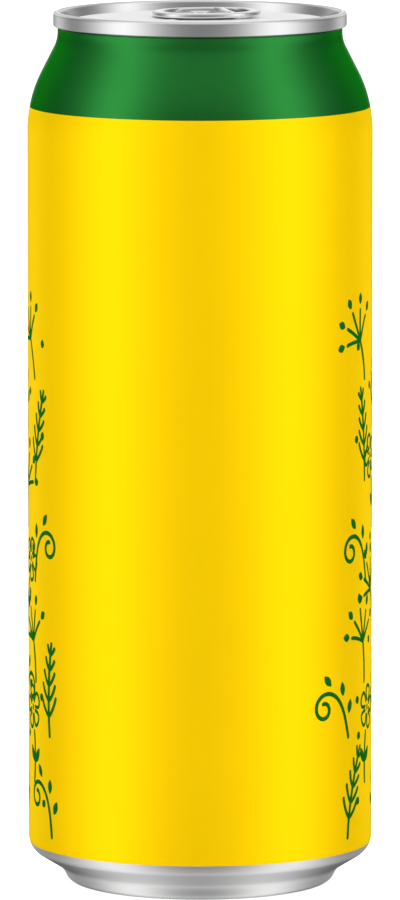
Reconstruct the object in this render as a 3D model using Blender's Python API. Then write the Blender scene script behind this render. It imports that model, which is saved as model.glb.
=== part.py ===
"""A tall 500 ml drinks can, shut and full: its drawn body, its seamed end and its stay-on tab.

Metres, +Z up. The can stands at the origin with its axis on Z, and the tab lies near the X axis with its
nose towards -X. Sizes below are in millimetres, and heights are measured from the surface that it stands on.
"""

import math

import bmesh
import bpy
from mathutils import Matrix, Vector

MM = 0.001
SEGMENTS = 64
GAP = 0.3  # clearance between pieces that touch on the real can

# Body
BODY_RADIUS = 33.1
CAN_HEIGHT = 168.1
NECK_RADIUS = 27.27
SHOULDER_CORNER_Z = 151.3
SHOULDER_BEND = 25.4
NECK_CORNER_Z = 162.74
NECK_BEND = 6.1
NECK_BAND_Z = 150.0  # the green band runs from here to the seam
BARE_BASE_Z = 7.93  # the lacquer stops here, and bare metal runs down to the stand

# Base
BASE_CORNER_Z = 6.78
BASE_BEND = 3.93
STEP_RADIUS = 26.62
STEP_Z = 2.85
STEP_BEND = 4.13
STAND_OUTER_RADIUS = 25.24
STAND_OUTER_BEND = 2.35
STAND_INNER_RADIUS = 21.9
STAND_INNER_BEND = 1.1
DOME_EDGE_RADIUS = 21.5
DOME_EDGE_Z = 4.3
DOME_EDGE_BEND = 1.4
DOME_RADIUS = 42.0
DOME_STEPS = 6

# Seam and end
SEAM_RADIUS = 28.1
SEAM_HEIGHT = 2.8
SEAM_INNER_RADIUS = 26.8
SEAM_BEND = 0.62
SEAM_LOWER_BEND = 0.35
CHUCK_WALL_RADIUS = 25.85
COUNTERSINK_DEPTH = 4.7
COUNTERSINK_INNER_RADIUS = 24.95
COUNTERSINK_BEND = 0.42
PANEL_DEPTH = 1.75  # at its edge
PANEL_RADIUS = 24.75
PANEL_BEND = 0.5
PANEL_BULGE = 0.72  # how far the drink's pressure lifts its middle above its edge
BULGE_RADII = (6.0, 11.0, 15.0, 18.5, 21.5)
END_THICKNESS = 0.42  # at the seam's foot, where the end hangs inside the neck
END_UNDERSIDE_DEPTH = 6.0

# Rivet
RIVET_STEM_RADIUS = 1.4
RIVET_HEAD_RADIUS = 1.9
RIVET_HEAD_DEPTH = 0.1
RIVET_HEAD_THICKNESS = 0.2
RIVET_HEAD_BEND = 0.14

# Tab
TAB_NOSE_REACH = 9.2
TAB_HEEL_REACH = 11.7
TAB_WIDTH = 17.4
TAB_THICKNESS = 0.92
TAB_TOP_RISE = 0.15  # how far it stands above the seam at the rivet
TAB_WIDEST_X = 1.2
TAB_ROUNDNESS = 2.35  # exponent of the outline: 2 is an ellipse, and more is squarer
TAB_POINTS = 48
TAB_CURL_BEND = 0.32
TAB_TILT = math.radians(0.2)  # the heel stands higher than the nose
TAB_TURN = math.radians(11)  # the heel points this far from +X towards +Y
FINGER_HOLE_START = 5.9
FINGER_HOLE_END = 9.5
FINGER_HOLE_WIDTH = 9.4
FINGER_HOLE_BEND = 1.7
ISLAND_RADIUS = 2.5
ISLAND_THICKNESS = 0.22
LANCE_WIDTH = 0.9
LANCE_REACH = math.radians(138)  # the cut round the rivet island, to each side of the heel
WEB_START = -6.9
WEB_END = -4.3
WEB_WIDTH = 8.4
WEB_BEND = 1.2
WEB_DEPTH = 0.4

SMOOTH_ANGLE = math.radians(35)

SEAM_FOOT_Z = CAN_HEIGHT - SEAM_HEIGHT
PANEL_Z = CAN_HEIGHT - PANEL_DEPTH
TAB_TOP_Z = CAN_HEIGHT + TAB_TOP_RISE
TAB_BOTTOM_Z = TAB_TOP_Z - TAB_THICKNESS

YELLOW = {"color": (0.95, 0.60, 0.01), "metallic": 0.55, "roughness": 0.34}
GREEN = {"color": (0.006, 0.10, 0.016), "metallic": 0.0, "roughness": 0.38}
BARE = {"color": (0.80, 0.80, 0.81), "metallic": 1.0, "roughness": 0.32}
END_METAL = {"color": (0.86, 0.86, 0.87), "metallic": 1.0, "roughness": 0.28}
TAB_METAL = {"color": (0.84, 0.84, 0.85), "metallic": 1.0, "roughness": 0.24}


def clear_scene():
    """Removes every object, so that only the can is left."""
    for found in list(bpy.data.objects):
        bpy.data.objects.remove(found, do_unlink=True)


def coating(name, finish):
    """A Principled material with the given colour, metallic value and roughness."""
    material = bpy.data.materials.new(name)
    material.use_nodes = True
    shader = material.node_tree.nodes["Principled BSDF"]
    shader.inputs["Base Color"].default_value = (*finish["color"], 1.0)
    shader.inputs["Metallic"].default_value = finish["metallic"]
    shader.inputs["Roughness"].default_value = finish["roughness"]
    return material


def add_object(name, mesh, *materials):
    """Links a mesh as a named object, smooth but for its true edges."""
    for material in materials:
        mesh.materials.append(material)
    mesh.shade_smooth()
    mesh.set_sharp_from_angle(angle=SMOOTH_ANGLE)
    made = bpy.data.objects.new(name, mesh)
    bpy.context.scene.collection.objects.link(made)
    return made


def bend(before, corner, after, radius, steps):
    """The points of an arc of this radius that rounds off a corner of an outline."""
    back = (before - corner).normalized()
    on = (after - corner).normalized()
    half = back.angle(on) / 2
    centre = corner + (back + on).normalized() * radius / math.sin(half)
    start = corner + back * radius / math.tan(half) - centre
    turn = math.copysign(math.pi - 2 * half, start.cross(on))
    return [centre + Matrix.Rotation(turn * k / steps, 2) @ start for k in range(steps + 1)]


def outline(corners):
    """An open path of (radius, height) points. A corner with a bend radius and steps is rounded off."""
    places = [Vector(corner[:2]) for corner in corners]
    path = []
    for index, corner in enumerate(corners):
        if len(corner) == 2:
            path.append(places[index])
        else:
            path += bend(places[index - 1], places[index], places[index + 1], corner[2], corner[3])
    return path


def cut_at(path, height):
    """The path with one more point where it crosses a height."""
    cut = []
    for point, following in zip(path[:-1], path[1:]):
        cut.append(point)
        if (point.y - height) * (following.y - height) < 0:
            cut.append(point.lerp(following, (height - point.y) / (following.y - point.y)))
    return cut + [path[-1]]


def turned(name, path):
    """A closed mesh made by turning a path, whose two ends lie on the Z axis, once round it."""
    shape = bmesh.new()
    rims = [shape.verts.new((point.x * MM, 0, point.y * MM)) for point in path]
    edges = [shape.edges.new(pair) for pair in zip(rims[:-1], rims[1:])]
    bmesh.ops.spin(
        shape,
        geom=rims + edges,
        cent=(0, 0, 0),
        axis=(0, 0, 1),
        dvec=(0, 0, 0),
        angle=math.tau,
        steps=SEGMENTS,
        use_merge=True,
    )
    bmesh.ops.remove_doubles(shape, verts=shape.verts, dist=0.001 * MM)
    bmesh.ops.recalc_face_normals(shape, faces=shape.faces)
    mesh = bpy.data.meshes.new(name)
    shape.to_mesh(mesh)
    shape.free()
    return mesh


def prism(name, points, low, high):
    """A closed mesh that stands on an outline of (x, y) points, between two heights."""
    shape = bmesh.new()
    floor = shape.faces.new([shape.verts.new((x * MM, y * MM, low * MM)) for x, y in points])
    raised = bmesh.ops.extrude_face_region(shape, geom=[floor])["geom"]
    top = [part for part in raised if isinstance(part, bmesh.types.BMVert)]
    bmesh.ops.translate(shape, verts=top, vec=(0, 0, (high - low) * MM))
    bmesh.ops.recalc_face_normals(shape, faces=shape.faces)
    mesh = bpy.data.meshes.new(name)
    shape.to_mesh(mesh)
    shape.free()
    return mesh


def round_box(start, end, width, corner_bend, steps=4):
    """The outline of a rectangle from start to end along X, centred on Y, with rounded corners."""
    half = width / 2
    points = []
    for quarter, (x, y) in enumerate([(end, half), (start, half), (start, -half), (end, -half)]):
        centre_x = x - math.copysign(corner_bend, x - (start + end) / 2)
        centre_y = y - math.copysign(corner_bend, y)
        for k in range(steps + 1):
            angle = (quarter + k / steps) * math.pi / 2
            points.append((centre_x + corner_bend * math.cos(angle), centre_y + corner_bend * math.sin(angle)))
    return points


def circle(radius, count):
    """The outline of a circle about the rivet."""
    angles = [math.tau * k / count for k in range(count)]
    return [(radius * math.cos(angle), radius * math.sin(angle)) for angle in angles]


def lance(inner, outer, reach, count):
    """The outline of the open ring that is cut round the rivet island."""
    angles = [-reach + 2 * reach * k / count for k in range(count + 1)]
    there = [(outer * math.cos(angle), outer * math.sin(angle)) for angle in angles]
    back = [(inner * math.cos(angle), inner * math.sin(angle)) for angle in reversed(angles)]
    return there + back


def power(value, exponent):
    """The value raised to an exponent, with its sign kept."""
    return math.copysign(abs(value) ** exponent, value)


def tab_outline():
    """Two half superellipses that meet where the tab is widest."""
    points = []
    for k in range(TAB_POINTS):
        angle = math.tau * k / TAB_POINTS
        reach = TAB_HEEL_REACH - TAB_WIDEST_X if math.cos(angle) > 0 else TAB_NOSE_REACH + TAB_WIDEST_X
        x = TAB_WIDEST_X + reach * power(math.cos(angle), 2 / TAB_ROUNDNESS)
        y = TAB_WIDTH / 2 * power(math.sin(angle), 2 / TAB_ROUNDNESS)
        points.append((x, y))
    return points


def make_body():
    """The can's body, solid as a full can is: shoulder, neck, wall, base, stand and dome."""
    lip_z = SEAM_FOOT_Z - GAP
    well_z = CAN_HEIGHT - END_UNDERSIDE_DEPTH - GAP
    end_radius = CHUCK_WALL_RADIUS + END_THICKNESS + GAP
    lip_radius = NECK_RADIUS - 0.25
    dome = []
    for k in range(DOME_STEPS):
        radius = DOME_EDGE_RADIUS * k / DOME_STEPS
        dome.append((radius, DOME_EDGE_Z + dome_rise(radius)))
    path = outline(
        [
            (0, well_z),
            (end_radius, well_z),
            (lip_radius, lip_z),
            (NECK_RADIUS, lip_z),
            (NECK_RADIUS, NECK_CORNER_Z, NECK_BEND, 4),
            (BODY_RADIUS, SHOULDER_CORNER_Z, SHOULDER_BEND, 6),
            (BODY_RADIUS, BASE_CORNER_Z, BASE_BEND, 5),
            (STEP_RADIUS, STEP_Z, STEP_BEND, 3),
            (STAND_OUTER_RADIUS, 0, STAND_OUTER_BEND, 4),
            (STAND_INNER_RADIUS, 0, STAND_INNER_BEND, 3),
            (DOME_EDGE_RADIUS, DOME_EDGE_Z, DOME_EDGE_BEND, 3),
            *reversed(dome),
        ]
    )
    path = cut_at(cut_at(path, NECK_BAND_Z), BARE_BASE_Z)
    mesh = turned("can_body", path)
    materials = [coating("yellow_lacquer", YELLOW), coating("green_band", GREEN), coating("bare_base", BARE)]
    body = add_object("can_body", mesh, *materials)
    for face in mesh.polygons:
        height = face.center.z / MM
        face.material_index = 1 if height > NECK_BAND_Z else 2 if height < BARE_BASE_Z else 0
    return body


def dome_rise(radius):
    """How far the base's dome stands above its own edge at this distance from the axis."""
    edge_height = math.sqrt(DOME_RADIUS**2 - DOME_EDGE_RADIUS**2)
    return math.sqrt(DOME_RADIUS**2 - radius**2) - edge_height


def panel_height(radius):
    """The panel's height at this distance from the axis: flat over its middle, and falling to its edge."""
    return PANEL_Z + PANEL_BULGE * (1 - (radius / PANEL_RADIUS) ** 4)


def make_end():
    """The end: seam, chuck wall, countersink, panel and the rivet that is drawn up from the panel."""
    head_z = CAN_HEIGHT - RIVET_HEAD_DEPTH
    foot_radius = CHUCK_WALL_RADIUS + END_THICKNESS
    underside_z = CAN_HEIGHT - END_UNDERSIDE_DEPTH
    countersink_z = CAN_HEIGHT - COUNTERSINK_DEPTH
    hang_radius = NECK_RADIUS - 0.25 - GAP
    path = outline(
        [
            (0, head_z),
            (RIVET_HEAD_RADIUS, head_z, RIVET_HEAD_BEND, 2),
            (RIVET_HEAD_RADIUS, head_z - RIVET_HEAD_THICKNESS),
            (RIVET_STEM_RADIUS, head_z - RIVET_HEAD_THICKNESS),
            (RIVET_STEM_RADIUS, panel_height(RIVET_STEM_RADIUS)),
            *[(radius, panel_height(radius)) for radius in BULGE_RADII],
            (PANEL_RADIUS, PANEL_Z, PANEL_BEND, 3),
            (COUNTERSINK_INNER_RADIUS, countersink_z, COUNTERSINK_BEND, 3),
            (CHUCK_WALL_RADIUS, countersink_z, COUNTERSINK_BEND, 3),
            (SEAM_INNER_RADIUS, CAN_HEIGHT, SEAM_BEND, 4),
            (SEAM_RADIUS, CAN_HEIGHT, SEAM_BEND, 4),
            (SEAM_RADIUS, SEAM_FOOT_Z, SEAM_LOWER_BEND, 2),
            (hang_radius, SEAM_FOOT_Z),
            (foot_radius, underside_z),
            (0, underside_z),
        ]
    )
    return add_object("can_end", turned("can_end", path), coating("end_metal", END_METAL))


def cut_from(piece, cutters):
    """Takes each cutter's shape out of a piece, and keeps the cutters as guides that don't render."""
    for cutter in cutters:
        cutter.hide_render = True
        cutter.display_type = "WIRE"
        cutter.parent = piece
        taken = piece.modifiers.new(cutter.name, "BOOLEAN")
        taken.operation = "DIFFERENCE"
        taken.solver = "EXACT"
        taken.object = cutter


def make_tab():
    """The stay-on tab: a curled rim round a finger hole, a sunk web and the island that the rivet holds."""
    tab_metal = coating("tab_metal", TAB_METAL)
    tab = add_object("tab", prism("tab", tab_outline(), 0, TAB_THICKNESS), tab_metal)
    curl = tab.modifiers.new("curl", "BEVEL")
    curl.width = TAB_CURL_BEND * MM
    curl.segments = 3
    curl.limit_method = "ANGLE"
    curl.angle_limit = math.radians(60)
    above = TAB_THICKNESS + 1
    finger = round_box(FINGER_HOLE_START, FINGER_HOLE_END, FINGER_HOLE_WIDTH, FINGER_HOLE_BEND)
    web = round_box(WEB_START, WEB_END, WEB_WIDTH, WEB_BEND)
    ring = lance(ISLAND_RADIUS, ISLAND_RADIUS + LANCE_WIDTH, LANCE_REACH, 24)
    island = circle(ISLAND_RADIUS + LANCE_WIDTH / 2, 24)
    hole = circle(RIVET_STEM_RADIUS + GAP, 20)
    cutters = [
        add_object("finger_hole_cutter", prism("finger_hole_cutter", finger, -1, above)),
        add_object("web_cutter", prism("web_cutter", web, TAB_THICKNESS - WEB_DEPTH, above)),
        add_object("island_cutter", prism("island_cutter", island, ISLAND_THICKNESS, above)),
        add_object("lance_cutter", prism("lance_cutter", ring, -1, above)),
        add_object("rivet_hole_cutter", prism("rivet_hole_cutter", hole, -1, above)),
    ]
    cut_from(tab, cutters)
    tab.location.z = TAB_BOTTOM_Z * MM
    tab.rotation_euler = (0, -TAB_TILT, TAB_TURN)
    return tab


def main():
    """Builds the can's three pieces."""
    clear_scene()
    make_body()
    make_end()
    make_tab()


main()
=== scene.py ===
"""The look of a tall drinks can, shut and upright.

A lacquered wall with a green neck band, a bare domed base, a seamed end with its rivet and tear panel,
a stay-on tab, and a line print of fronds and blossoms round the sides. Sizes in the classes are in
millimetres and are turned into metres where a mesh is written. Azimuths are measured round the can from
its front, at -Y, towards +X.
"""

import logging
import math
from dataclasses import dataclass
from enum import Enum
from typing import NamedTuple, Sequence

import bpy
import numpy as np
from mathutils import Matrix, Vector


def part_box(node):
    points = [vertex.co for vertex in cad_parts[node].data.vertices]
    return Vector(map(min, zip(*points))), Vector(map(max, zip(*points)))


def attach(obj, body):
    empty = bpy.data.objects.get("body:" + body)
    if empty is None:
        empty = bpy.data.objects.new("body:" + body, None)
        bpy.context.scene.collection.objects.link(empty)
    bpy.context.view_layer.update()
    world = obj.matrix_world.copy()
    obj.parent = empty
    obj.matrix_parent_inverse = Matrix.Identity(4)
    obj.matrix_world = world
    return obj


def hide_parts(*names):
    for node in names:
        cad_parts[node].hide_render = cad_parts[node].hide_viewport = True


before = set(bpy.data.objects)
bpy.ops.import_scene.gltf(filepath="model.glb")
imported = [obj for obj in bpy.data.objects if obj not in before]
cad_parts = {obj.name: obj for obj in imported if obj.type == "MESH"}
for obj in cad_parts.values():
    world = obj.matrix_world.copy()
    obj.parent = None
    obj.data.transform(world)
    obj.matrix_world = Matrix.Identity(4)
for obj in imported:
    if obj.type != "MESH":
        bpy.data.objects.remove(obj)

log = logging.getLogger("can")

MM = 0.001
BODY = "root"
SMOOTH_ANGLE = math.radians(40)
WHITE = (1.0, 1.0, 1.0, 1.0)
NO_TRIANGLES = np.empty((0, 3), int)
TINY = 1e-9

# How far above the top of the solid the seam's crown stands, and how far below that top its foot ends, in
# millimetres
CROWN_RISE = 0.05
SEAM_HEIGHT = 2.8


class Corner(NamedTuple):
    """A corner of a turned outline, rounded off where it has a bend radius."""

    radius: float
    height: float
    bend: float = 0.0
    steps: int = 0


class Grain(Enum):
    """How the fine lines of a metal surface run."""

    DRAWN = (3.0, 3.0, 0.03)
    TURNED = (0.05, 0.05, 6.0)
    ROLLED = (0.06, 3.0, 3.0)


class Coat(Enum):
    """The zones of the wall, in the order of their material slots."""

    YELLOW = 0
    GREEN = 1
    BARE = 2


# Shapes worked out as whole arrays


@dataclass
class Surface:
    """Points in millimetres, and the quads and triangles on them."""

    points: np.ndarray
    quads: np.ndarray
    triangles: np.ndarray

    def facing_out(self) -> "Surface":
        """The closed surface with its faces turned so that its signed volume is positive.

        The volume is a sixth of the sum, over all triangles, of a . (b x c).

        Returns:
            This surface, or one with every face's points in the opposite order.
        """
        split = [self.quads[:, [0, 1, 2]], self.quads[:, [0, 2, 3]], self.triangles]
        corners = self.points[np.concatenate(split)]
        volume = np.einsum("ij,ij->", corners[:, 0], np.cross(corners[:, 1], corners[:, 2])) / 6
        if volume < 0:
            return Surface(self.points, self.quads[:, ::-1], self.triangles[:, ::-1])
        return self

    def mesh(self, name: str) -> bpy.types.Mesh:
        """A Blender mesh of this surface in metres, smooth but for its true edges.

        Args:
            name: The name of the mesh.

        Returns:
            The new mesh.
        """
        made = bpy.data.meshes.new(name)
        faces = self.quads.tolist() + self.triangles.tolist()
        made.from_pydata((self.points * MM).tolist(), [], faces)
        made.update()
        made.shade_smooth()
        made.set_sharp_from_angle(angle=SMOOTH_ANGLE)
        return made


def joined(surfaces: Sequence[Surface]) -> Surface:
    """Several surfaces as one, each still closed on its own.

    Args:
        surfaces: The surfaces to join.

    Returns:
        One surface with all the points and faces.
    """
    starts = np.cumsum([0] + [len(part.points) for part in surfaces[:-1]])
    return Surface(
        np.concatenate([part.points for part in surfaces]),
        np.concatenate([part.quads + start for part, start in zip(surfaces, starts)]),
        np.concatenate([part.triangles + start for part, start in zip(surfaces, starts)]),
    )


def rounded_path(corners: Sequence[Corner]) -> np.ndarray:
    """The outline through the corners, with an arc in place of each corner that has a bend radius.

    The arc starts bend / tan(half the corner's angle) before the corner, its centre lies on the corner's
    bisector at bend / sin(half the angle), and it turns through pi less the angle.

    Args:
        corners: The outline's corners in order. The first and the last have no bend.

    Returns:
        Points as rows of radius and height.
    """
    places = np.array([corner[:2] for corner in corners], float)
    path = [places[:1]]
    for before, place, after, corner in zip(places[:-2], places[1:-1], places[2:], corners[1:-1]):
        if corner.bend == 0:
            path.append(place[None])
            continue
        back = (before - place) / np.linalg.norm(before - place)
        on = (after - place) / np.linalg.norm(after - place)
        half = math.acos(float(np.clip(back @ on, -1, 1))) / 2
        middle = (back + on) / np.linalg.norm(back + on)
        centre = place + middle * corner.bend / math.sin(half)
        arm = place + back * corner.bend / math.tan(half) - centre
        side = np.sign(back[1] * on[0] - back[0] * on[1])
        turn = np.linspace(0, side * (math.pi - 2 * half), corner.steps + 1)[:, None]
        path.append(centre + arm * np.cos(turn) + np.array([-arm[1], arm[0]]) * np.sin(turn))
    return np.concatenate(path + [places[-1:]])


def divided(path: np.ndarray, gap: float) -> np.ndarray:
    """The path with points added so that neighbours are at most the gap apart.

    Args:
        path: Points as rows.
        gap: The largest step wanted.

    Returns:
        The points of the denser path.
    """
    steps = np.linalg.norm(np.diff(path, axis=0), axis=1)
    counts = np.maximum(1, np.ceil(steps / gap).astype(int))
    starts = np.repeat(np.arange(len(steps)), counts)
    within = np.arange(counts.sum()) - np.repeat(np.cumsum(counts) - counts, counts)
    share = (within / counts[starts])[:, None]
    points = path[starts] * (1 - share) + path[starts + 1] * share
    return np.concatenate([points, path[-1:]])


def cut_at(path: np.ndarray, height: float) -> np.ndarray:
    """The path with a point added wherever it crosses a height.

    Args:
        path: Rows of radius and height.
        height: The height to cut at.

    Returns:
        The path with the crossings in place.
    """
    low, high = path[:-1, 1] - height, path[1:, 1] - height
    crossed = np.flatnonzero(low * high < 0)
    share = (low[crossed] / (low[crossed] - high[crossed]))[:, None]
    added = path[crossed] * (1 - share) + path[crossed + 1] * share
    return np.insert(path, crossed + 1, added, axis=0)


def ring_faces(rows: int, around: int) -> np.ndarray:
    """The quads of a grid that closes on itself across its columns.

    Args:
        rows: The number of rows of points.
        around: The number of points in each row.

    Returns:
        The four point numbers of each quad.
    """
    row = np.arange(rows - 1)[:, None] * around
    here = np.arange(around)[None]
    following = (here + 1) % around
    corners = [row + here, row + around + here, row + around + following, row + following]
    return np.stack(corners, axis=-1).reshape(-1, 4)


def turned_surface(path: np.ndarray, around: int) -> Surface:
    """The closed surface that a path from axis to axis sweeps: x = r cos u, y = r sin u, z = height.

    Args:
        path: Rows of radius and height, from the top of the axis to its foot, with both ends on the axis.
        around: The number of points round the axis.

    Returns:
        The surface, with one point for each pole.
    """
    angle = np.arange(around) * (math.tau / around)
    inner = path[1:-1]
    x = inner[:, :1] * np.cos(angle)
    y = inner[:, :1] * np.sin(angle)
    z = np.repeat(inner[:, 1:], around, axis=1)
    rings = np.stack([x, y, z], axis=-1).reshape(-1, 3)
    poles = np.array([[0, 0, path[0, 1]], [0, 0, path[-1, 1]]])
    top, foot = len(rings), len(rings) + 1
    here = np.arange(around)
    following = (here + 1) % around
    last = (len(inner) - 1) * around
    caps = [
        np.stack([np.full(around, top), here, following], axis=-1),
        np.stack([last + here, np.full(around, foot), last + following], axis=-1),
    ]
    return Surface(np.concatenate([rings, poles]), ring_faces(len(inner), around), np.concatenate(caps))


def nearest(points: np.ndarray, edge: np.ndarray) -> np.ndarray:
    """The distance from each point to the nearest point of an edge, both as rows of x and y."""
    return np.sqrt(((points[:, None] - edge[None]) ** 2).sum(axis=-1).min(axis=1))


def welded(surface: Surface, within: float) -> Surface:
    """The surface with points that share a place made one, and the faces that this folds up taken out.

    Args:
        surface: The surface to weld.
        within: The size of the cells that places are rounded to.

    Returns:
        The welded surface. A quad that loses one corner becomes a triangle.
    """
    cells = np.round(surface.points / within).astype(np.int64)
    _, first, number = np.unique(cells, axis=0, return_index=True, return_inverse=True)
    number = number.reshape(-1)
    quads = number[surface.quads]
    same = quads == np.roll(quads, -1, axis=1)
    whole = quads[~same.any(axis=1)]
    folded = quads[same.sum(axis=1) == 1]
    keep = ~same[same.sum(axis=1) == 1]
    triangles = np.concatenate([number[surface.triangles], folded[keep].reshape(-1, 3)])
    return Surface(surface.points[first], whole, triangles)


def turned_by(x: np.ndarray, y: np.ndarray, angle: float) -> tuple[np.ndarray, np.ndarray]:
    """Points turned about the axis: (x cos a - y sin a, x sin a + y cos a)."""
    return x * math.cos(angle) - y * math.sin(angle), x * math.sin(angle) + y * math.cos(angle)


def smooth_step(value: np.ndarray) -> np.ndarray:
    """Rises from 0 to 1 as the value does, as 3 v^2 - 2 v^3."""
    held = np.clip(value, 0, 1)
    return held * held * (3 - 2 * held)


def placed(name: str, data: bpy.types.ID) -> bpy.types.Object:
    """Puts a new object into the scene.

    Args:
        name: The object's name.
        data: Its mesh, lamp or camera.

    Returns:
        The new object, at the origin.
    """
    made = bpy.data.objects.new(name, data)
    bpy.context.scene.collection.objects.link(made)
    return made


# Finishes


class Noise(Enum):
    """The finishes' noise textures, as cells to the metre and layers of detail."""

    BROAD = (55.0, 3.0)
    RIPPLES = (900.0, 2.0)
    LINES = (900.0, 4.0)
    CLOUDS = (120.0, 2.0)


# How much of a bare metal's wear comes from its lines, the rest being clouds
LINES_SHARE = 0.7


@dataclass
class NodeBuilder:
    """Adds shader nodes to the tree of a material or a world, one line each."""

    tree: bpy.types.NodeTree

    def add(self, kind: str, sockets: dict | None = None, **settings: object) -> bpy.types.Node:
        """Adds a node and fills its sockets.

        Args:
            kind: The node's type, without the ShaderNode in front.
            sockets: A value for, or an output socket to link to, each input by name or number.
            **settings: The node's own properties.

        Returns:
            The new node.
        """
        node = self.tree.nodes.new("ShaderNode" + kind)
        for name, value in settings.items():
            setattr(node, name, value)
        for name, value in (sockets or {}).items():
            if isinstance(value, bpy.types.NodeSocket):
                self.tree.links.new(value, node.inputs[name])
            else:
                node.inputs[name].default_value = value
        return node

    def math(self, operation: str, first: object, *others: object) -> bpy.types.NodeSocket:
        """The result of Math nodes.

        Args:
            operation: What they do.
            first: The first value.
            *others: The further values, taken in one after another.

        Returns:
            The last node's result.
        """
        for other in others or (0.0,):
            first = self.add("Math", {0: first, 1: other}, operation=operation).outputs[0]
        return first

    def noise(self, place: bpy.types.NodeSocket, kind: Noise) -> bpy.types.NodeSocket:
        """The value of a noise texture at a place."""
        scale, detail = kind.value
        return self.add("TexNoise", {"Vector": place, "Scale": scale, "Detail": detail}).outputs["Fac"]

    def mixed(self, share: object, first: Sequence, second: Sequence) -> bpy.types.NodeSocket:
        """Two colours mixed by a share. Sockets 6, 7 and 2 are the colour ones of a Mix node."""
        sockets = {0: share, 6: (*first, 1.0), 7: (*second, 1.0)}
        return self.add("Mix", sockets, data_type="RGBA").outputs[2]

    def ramp(self, tilt: object, stops: Sequence[tuple[float, float]]) -> bpy.types.NodeSocket:
        """A value that runs smoothly between stops, kept as halves because a ramp ends at 1.

        Args:
            tilt: Where to read it, as a share of the way from -90 to 90 degrees.
            stops: Pairs of tilt in degrees and value.

        Returns:
            The value there.
        """
        node = self.add("ValToRGB", {0: tilt})
        node.color_ramp.interpolation = "EASE"
        marks = node.color_ramp.elements
        while len(marks) < len(stops):
            marks.new(0.5)
        for mark, (degrees, value) in zip(marks, stops):
            mark.position = degrees / 180 + 0.5
            mark.color = (value / 2, value / 2, value / 2, 1.0)
        return self.math("MULTIPLY", node.outputs[0], 2.0)

    def spread(self, value: object, low: float, high: float) -> bpy.types.NodeSocket:
        """A value from 0 to 1 laid out between two others."""
        sockets = {"Value": value, "To Min": low, "To Max": high}
        return self.add("MapRange", sockets).outputs["Result"]


@dataclass(frozen=True, kw_only=True)
class Finish:
    """What every finish has: a colour and a roughness that vary with wear, and a fine relief."""

    name: str
    color: tuple[float, float, float]
    roughness: float
    roughness_play: float = 0.03
    metallic: float = 1.0
    dark_share: float
    relief_strength: float
    relief_depth: float

    def start(self) -> tuple[bpy.types.Material, NodeBuilder, bpy.types.Node, bpy.types.NodeSocket]:
        """A material of this name with its plain values set.

        Returns:
            The material, a builder for its nodes, its Principled shader and the object coordinates.
        """
        material = bpy.data.materials.new(self.name)
        material.use_nodes = True
        build = NodeBuilder(material.node_tree)
        shader = material.node_tree.nodes["Principled BSDF"]
        shader.inputs["Base Color"].default_value = (*self.color, 1.0)
        shader.inputs["Metallic"].default_value = self.metallic
        place = build.add("TexCoord").outputs["Object"]
        return material, build, shader, place

    def cover(self, build: NodeBuilder, shader: bpy.types.Node, wear: object, height: object) -> None:
        """Lets wear vary the colour and the roughness, and a height field give the relief.

        Args:
            build: The builder for the material's nodes.
            shader: The material's Principled shader.
            wear: Noise from 0, dark and smooth, to 1, light and rough.
            height: Noise from 0, low, to 1, high.
        """
        dark = tuple(value * self.dark_share for value in self.color)
        tint = build.mixed(wear, dark, self.color)
        low, high = self.roughness - self.roughness_play, self.roughness + self.roughness_play
        rough = build.spread(wear, low, high)
        relief = {"Height": height, "Strength": self.relief_strength, "Distance": self.relief_depth * MM}
        normal = build.add("Bump", relief).outputs["Normal"]
        for name, value in {"Base Color": tint, "Roughness": rough, "Normal": normal}.items():
            build.tree.links.new(value, shader.inputs[name])


@dataclass(frozen=True, kw_only=True)
class Lacquer(Finish):
    """Coloured lacquer over drawn metal: part pigment, part metal shining through it."""

    edge_tint: tuple[float, float, float]
    varnish: float = 0.0
    varnish_ior: float = 1.5
    dark_share: float = 0.965
    relief_strength: float = 0.25
    relief_depth: float = 0.002

    def material(self) -> bpy.types.Material:
        """The lacquer's material.

        Broad noise lets the pigment and the roughness vary a little, and fine noise ripples the coat as
        sprayed lacquer is rippled.

        Returns:
            The new material.
        """
        material, build, shader, place = self.start()
        self.cover(build, shader, build.noise(place, Noise.BROAD), build.noise(place, Noise.RIPPLES))
        shader.inputs["Specular IOR Level"].default_value = 0.0
        shader.inputs["Specular Tint"].default_value = (*self.edge_tint, 1.0)
        shader.inputs["Coat Weight"].default_value = self.varnish
        shader.inputs["Coat Roughness"].default_value = self.roughness
        shader.inputs["Coat IOR"].default_value = self.varnish_ior
        return material


@dataclass(frozen=True, kw_only=True)
class BareMetal(Finish):
    """Bare aluminium with the fine lines that drawing, turning or rolling leave."""

    grain: Grain = Grain.ROLLED
    dark_share: float = 0.9
    relief_strength: float = 0.3
    relief_depth: float = 0.003

    def material(self) -> bpy.types.Material:
        """The metal's material.

        Noise that is stretched along the grain gives the lines their relief and most of the wear, and a
        broad noise clouds the metal a little.

        Returns:
            The new material.
        """
        material, build, shader, place = self.start()
        stretched = build.add("Mapping", {"Vector": place, "Scale": self.grain.value}).outputs[0]
        lines = build.noise(stretched, Noise.LINES)
        clouds = build.noise(place, Noise.CLOUDS)
        from_lines = build.math("MULTIPLY", lines, LINES_SHARE)
        from_clouds = build.math("MULTIPLY", clouds, 1 - LINES_SHARE)
        self.cover(build, shader, build.math("ADD", from_lines, from_clouds), lines)
        return material


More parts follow.
